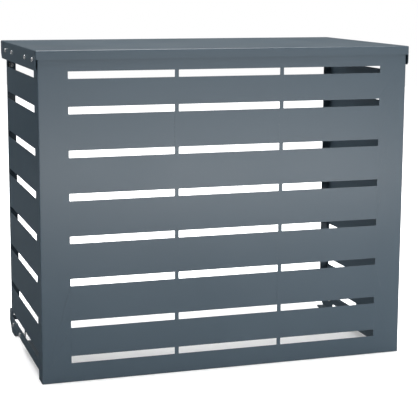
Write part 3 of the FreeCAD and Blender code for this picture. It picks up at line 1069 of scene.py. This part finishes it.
class ScrewedJoint:
    """Button screws with their nuts, which replace the CAD's plain ones."""

    def __init__(self, screws: str, nuts: str, inward: Vector, centres: tuple[Vector, ...]) -> None:
        """Keep the CAD nodes and their axes.

        Args:
            screws: CAD node of the screws.
            nuts: CAD node of the nuts.
            inward: direction from head to tip.
            centres: a point on each axis.
        """
        self.screws = FastenerRow(screws, inward, centres)
        self.nuts = FastenerRow(nuts, inward, centres)

    def build(self, finishes: Finishes) -> None:
        """Build the screws and nuts.

        Args:
            finishes: the materials.
        """
        screw = ButtonScrew()
        head, tip = self.screws.span
        seat = head + screw.head_height
        self.screws.turn(seat, screw.rings(tip - seat), Slot.SCREWS, finishes)
        bearing, _ = self.nuts.span
        self.nuts.turn(seat, LARGE_NUT.rings(bearing - seat), Slot.ZINC, finishes, tube=True)


class StuddedJoint:
    """Weld studs with their nuts, which replace the CAD's plain ones."""

    def __init__(self, studs: str, nuts: str, inward: Vector, centres: tuple[Vector, ...],
                 with_base: bool) -> None:
        """Keep the CAD nodes and their axes.

        Args:
            studs: CAD node of the studs.
            nuts: CAD node of the nuts.
            inward: direction from the weld to the tip.
            centres: a point on each axis.
            with_base: whether the studs have the wide base.
        """
        self.studs = FastenerRow(studs, inward, centres)
        self.nuts = FastenerRow(nuts, inward, centres)
        self.with_base = with_base

    def build(self, finishes: Finishes) -> None:
        """Build the studs and nuts.

        Args:
            finishes: the materials.
        """
        face, tip = self.studs.span
        rings = WeldStud().rings(tip - face, self.with_base)
        self.studs.turn(face, rings, Slot.ZINC, finishes)
        bearing, _ = self.nuts.span
        self.nuts.turn(face, SMALL_NUT.rings(bearing - face), Slot.ZINC, finishes, tube=True)


@dataclass
class Shell:
    """Front panel and side panels, joined by studs inside the front corners."""

    edge: CoatedEdge = CoatedEdge()
    stud_radius: float = M5.outer_radius
    stud_count: int = 4

    def build(self, finishes: Finishes) -> None:
        """Dress the panels and build the corner joints.

        Args:
            finishes: the materials.
        """
        self.edge.dress("front_panel", Slot.PANELS, finishes)
        for side in Side:
            self.edge.dress(f"{side.value}_side_panel", Slot.PANELS, finishes)
            studs = f"{side.value}_corner_studs"
            centres = centres_between(studs, Axis.Z, self.stud_radius, self.stud_count)
            StuddedJoint(studs, f"{side.value}_corner_nuts", side.inward, centres,
                         with_base=False).build(finishes)


@dataclass
class LidTop:
    """Lid with its stiffener, screws, spacers and nuts."""

    edge: CoatedEdge = CoatedEdge()
    screw_edge: float = ButtonScrew.head_radius
    screw_pitch: float = 110.0 * MM

    def build(self, finishes: Finishes) -> None:
        """Dress the lid and build its fastening.

        Args:
            finishes: the materials.
        """
        self.edge.dress("lid", Slot.PANELS, finishes)
        self.edge.dress("lid_stiffener", Slot.BRACKETS, finishes)
        for side in Side:
            screws = f"{side.value}_lid_screws"
            centres = paired_centres(screws, self.screw_edge, self.screw_pitch)
            ScrewedJoint(screws, f"{side.value}_lid_nuts", side.inward, centres).build(finishes)
            self.build_spacers(side, centres, finishes)

    def build_spacers(self, side: Side, centres: tuple[Vector, ...], finishes: Finishes) -> None:
        """Build one side's spacers.

        Args:
            side: the side.
            centres: a point on each screw's axis.
            finishes: the materials.
        """
        row = FastenerRow(f"{side.value}_lid_spacers", side.inward, centres)
        start, end = row.span
        row.turn(start, Spacer().rings(end - start), Slot.SPACERS, finishes, tube=True)


@dataclass
class CornerSupports:
    """Top brackets and rear feet, with their pads, studs and screws."""

    edge: CoatedEdge = CoatedEdge(radius=0.5 * MM)
    pad_edge: CoatedEdge = CoatedEdge(radius=0.35 * MM)
    screw_edge: float = ButtonScrew.head_radius

    def build(self, finishes: Finishes) -> None:
        """Dress the plates and build their fasteners.

        Args:
            finishes: the materials.
        """
        for side in Side:
            for plate in ("front_bracket", "rear_bracket", "rear_foot"):
                self.edge.dress(f"{side.value}_{plate}", Slot.BRACKETS, finishes)
            self.pad_edge.dress(f"{side.value}_foot_pad", Slot.PADS, finishes)
            screws = f"{side.value}_foot_screws"
            centres = centres_between(screws, Axis.Y, self.screw_edge, 2)
            ScrewedJoint(screws, f"{side.value}_foot_nuts", side.inward, centres).build(finishes)
            stud = f"{side.value}_bracket_stud"
            StuddedJoint(stud, f"{side.value}_bracket_nut", Vector((0.0, 1.0, 0.0)),
                         centres_between(stud, Axis.Z, 0.0, 1), with_base=True).build(finishes)


@dataclass
class TopRail:
    """Rail between the side panels at the top of the open back."""

    edge: CoatedEdge = CoatedEdge()

    def build(self, finishes: Finishes) -> None:
        """Dress the rail and build its screws.

        Args:
            finishes: the materials.
        """
        self.edge.dress("rear_top_rail", Slot.BRACKETS, finishes)
        for side in Side:
            screw = f"{side.value}_rail_screw"
            ScrewedJoint(screw, f"{side.value}_rail_nut", Vector((0.0, -1.0, 0.0)),
                         centres_between(screw, Axis.Z, 0.0, 1)).build(finishes)


@dataclass(frozen=True)
class Softbox:
    """Rectangular studio light, sized in metres and in watts. Reflections may leave it out."""

    name: str
    place: tuple[float, float, float]
    aim: tuple[float, float, float]
    width: float
    height: float
    power: float
    reflected: bool = False

    def build(self) -> None:
        """Hang the light."""
        data = bpy.data.lights.new(self.name, "AREA")
        data.shape = "RECTANGLE"
        data.size = self.width
        data.size_y = self.height
        data.energy = self.power
        lamp = bpy.data.objects.new(self.name, data)
        way = Vector(self.aim) - Vector(self.place)
        lamp.location = self.place
        lamp.rotation_mode = "QUATERNION"
        lamp.rotation_quaternion = way.to_track_quat("-Z", "Y")
        lamp.visible_glossy = self.reflected
        lamp.visible_camera = False
        bpy.context.scene.collection.objects.link(lamp)


@dataclass
class Studio:
    """Pale floor with a painted shadow under the cover, soft light and white surroundings."""

    lights: tuple[Softbox, ...] = (
        Softbox("top_light", (0.2, 0.2, 3.4), (0.0, 0.0, 0.4), 2.6, 2.6, 155.0, True),
        Softbox("front_light", (1.0, -3.4, 0.6), (0.1, 0.0, 0.15), 2.0, 1.0, 44.0),
        Softbox("fill_light", (0.7, -2.3, 0.32), (0.35, 0.0, 0.35), 2.6, 0.7, 7.5, True),
        Softbox("strip_light", (0.55, -2.27, 0.19), (0.0, 0.0, 0.5), 1.8, 0.14, 6.0, True),
        Softbox("left_light", (-2.6, 2.6, 1.5), (0.3, 0.0, 0.4), 2.0, 2.0, 60.0),
        Softbox("back_light", (0.2, 3.2, 2.2), (0.0, 0.0, 0.3), 2.4, 2.4, 60.0),
    )
    floor_radius: float = 9.0
    floor_sides: int = 96
    floor_level: float = 0.82
    floor_mottle: float = 0.01
    floor_patches: float = 3.0
    floor_roughness: float = 0.9
    floor_sheen: float = 0.1
    floor_gloss: float = 0.026
    # Rectangle under the cover where the floor's camera-only glow is dimmed: a painted shadow.
    painted_shadow_half: tuple[float, float] = (0.49, 0.36)
    painted_shadow_middle: tuple[float, float] = (0.0, 0.09)
    painted_shadow_glow: float = 0.2
    glow_outside: float = 1.0
    painted_shadow_edge: float = 0.08
    horizon: float = 0.33
    zenith: float = 0.75
    zenith_from: float = 0.8
    reflected_share: float = 0.16

    def build(self) -> None:
        """Build the floor, the lights and the world."""
        self.build_floor()
        self.build_world()
        for light in self.lights:
            light.build()
        bpy.context.scene.view_settings.view_transform = "Standard"
        LOG.info("built the studio")

    def build_floor(self) -> None:
        """Lay the floor, a large disc."""
        mesh = bmesh.new()
        bmesh.ops.create_circle(mesh, cap_ends=True, radius=self.floor_radius,
                                segments=self.floor_sides)
        data = bpy.data.meshes.new("floor")
        mesh.to_mesh(data)
        mesh.free()
        floor = bpy.data.objects.new("floor", data)
        bpy.context.scene.collection.objects.link(floor)
        data.materials.append(self.build_floor_finish())

    def build_floor_finish(self) -> bpy.types.Material:
        """Make the floor's material: matt, clear from below, its camera-only glow dimmed to a
        painted shadow under the cover.

        Returns:
            The material.
        """
        material, tree, shader = new_material("pale_floor")
        path = tree.add("ShaderNodeLightPath").outputs
        mottle = tree.spread(tree.noise(self.floor_patches, 3.0), *NOISE_RANGE,
                             self.floor_level - self.floor_mottle, self.floor_level)
        dimmed = tree.spread(path["Is Glossy Ray"], 0.0, 1.0, 1.0, self.floor_gloss)
        level = tree.maths("MULTIPLY", mottle, dimmed)
        tree.feed(shader.inputs["Base Color"],
                  tree.add("ShaderNodeCombineColor", {0: level, 1: level, 2: level}).outputs[0])
        shader.inputs["Roughness"].default_value = self.floor_roughness
        shader.inputs["Specular IOR Level"].default_value = self.floor_sheen
        # Camera-only glow that is lower inside the rectangle: a painted shadow under the cover.
        glow_and_painted_shadow = tree.spread(self.write_painted_shadow_distance(tree), 0.0, self.painted_shadow_edge,
                           self.painted_shadow_glow, self.glow_outside)
        shader.inputs["Emission Color"].default_value = grey(1.0)
        tree.feed(shader.inputs["Emission Strength"],
                  tree.maths("MULTIPLY", glow_and_painted_shadow, path["Is Camera Ray"]))
        below = tree.add("ShaderNodeNewGeometry").outputs["Backfacing"]
        tree.feed(shader.inputs["Alpha"], tree.maths("SUBTRACT", 1.0, below))
        return material

    def write_painted_shadow_distance(self, tree: Tree) -> Socket:
        """Distance from the rectangle of painted shadow under the cover, below 0 inside it.

        Args:
            tree: the floor's tree.

        Returns:
            The distance in metres.
        """
        place = tree.add("ShaderNodeTexCoord").outputs["Object"]
        parts = tree.add("ShaderNodeSeparateXYZ", {0: place}).outputs
        beyond = []
        for axis, half, middle in zip("XY", self.painted_shadow_half, self.painted_shadow_middle):
            off = tree.maths("ABSOLUTE", tree.maths("SUBTRACT", parts[axis], middle))
            beyond.append(tree.maths("SUBTRACT", off, half))
        return tree.maths("MAXIMUM", *beyond)

    def build_world(self) -> None:
        """White behind the cover, and a soft sky from horizon to zenith as its light."""
        world = bpy.data.worlds.new("surroundings")
        bpy.context.scene.world = world
        world.use_nodes = True
        tree = Tree(world.node_tree)
        way = tree.add("ShaderNodeTexCoord").outputs["Generated"]
        height = tree.add("ShaderNodeSeparateXYZ", {0: way}).outputs["Z"]
        sky = tree.spread(height, 0.0, self.zenith_from, self.horizon, self.zenith)
        path = tree.add("ShaderNodeLightPath").outputs
        dimmed = tree.spread(path["Is Glossy Ray"], 0.0, 1.0, 1.0, self.reflected_share)
        level = tree.maths("MAXIMUM", tree.maths("MULTIPLY", sky, dimmed), path["Is Camera Ray"])
        background = world.node_tree.nodes["Background"]
        background.inputs["Color"].default_value = grey(1.0)
        tree.feed(background.inputs["Strength"], level)


@dataclass(frozen=True)
class StudioCamera:
    """Camera a little above the lid, out to the left, seeing the front and the left side."""

    place: tuple[float, float, float] = (-1.038, -3.301, 1.019)
    yaw: float = math.radians(17.96)
    down: float = math.radians(9.17)
    roll: float = math.radians(0.27)
    lens: float = 107.0
    shift_y: float = -0.065

    def build(self) -> None:
        """Make the camera and give it to the scene."""
        ahead = Vector((math.sin(self.yaw) * math.cos(self.down),
                        math.cos(self.yaw) * math.cos(self.down), -math.sin(self.down)))
        right = Vector((math.cos(self.yaw), -math.sin(self.yaw), 0.0))
        up = right.cross(ahead)
        tilted_right = right * math.cos(self.roll) + up * math.sin(self.roll)
        tilted_up = up * math.cos(self.roll) - right * math.sin(self.roll)
        turn = Matrix((tilted_right, tilted_up, -ahead)).transposed().to_4x4()
        data = bpy.data.cameras.new("camera")
        data.lens = self.lens
        data.shift_y = self.shift_y
        camera = bpy.data.objects.new("camera", data)
        camera.matrix_world = Matrix.Translation(self.place) @ turn
        bpy.context.scene.collection.objects.link(camera)
        bpy.context.scene.camera = camera


def main() -> None:
    """Build the cover's looks round the frame."""
    logging.basicConfig(level=logging.INFO, format="%(name)s: %(message)s")
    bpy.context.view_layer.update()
    StudioCamera().build()
    Studio().build()
    finishes = Finishes(Effects())
    for assembly in (Shell(), LidTop(), CornerSupports(), TopRail()):
        assembly.build(finishes)


if __name__ == "__main__":
    main()
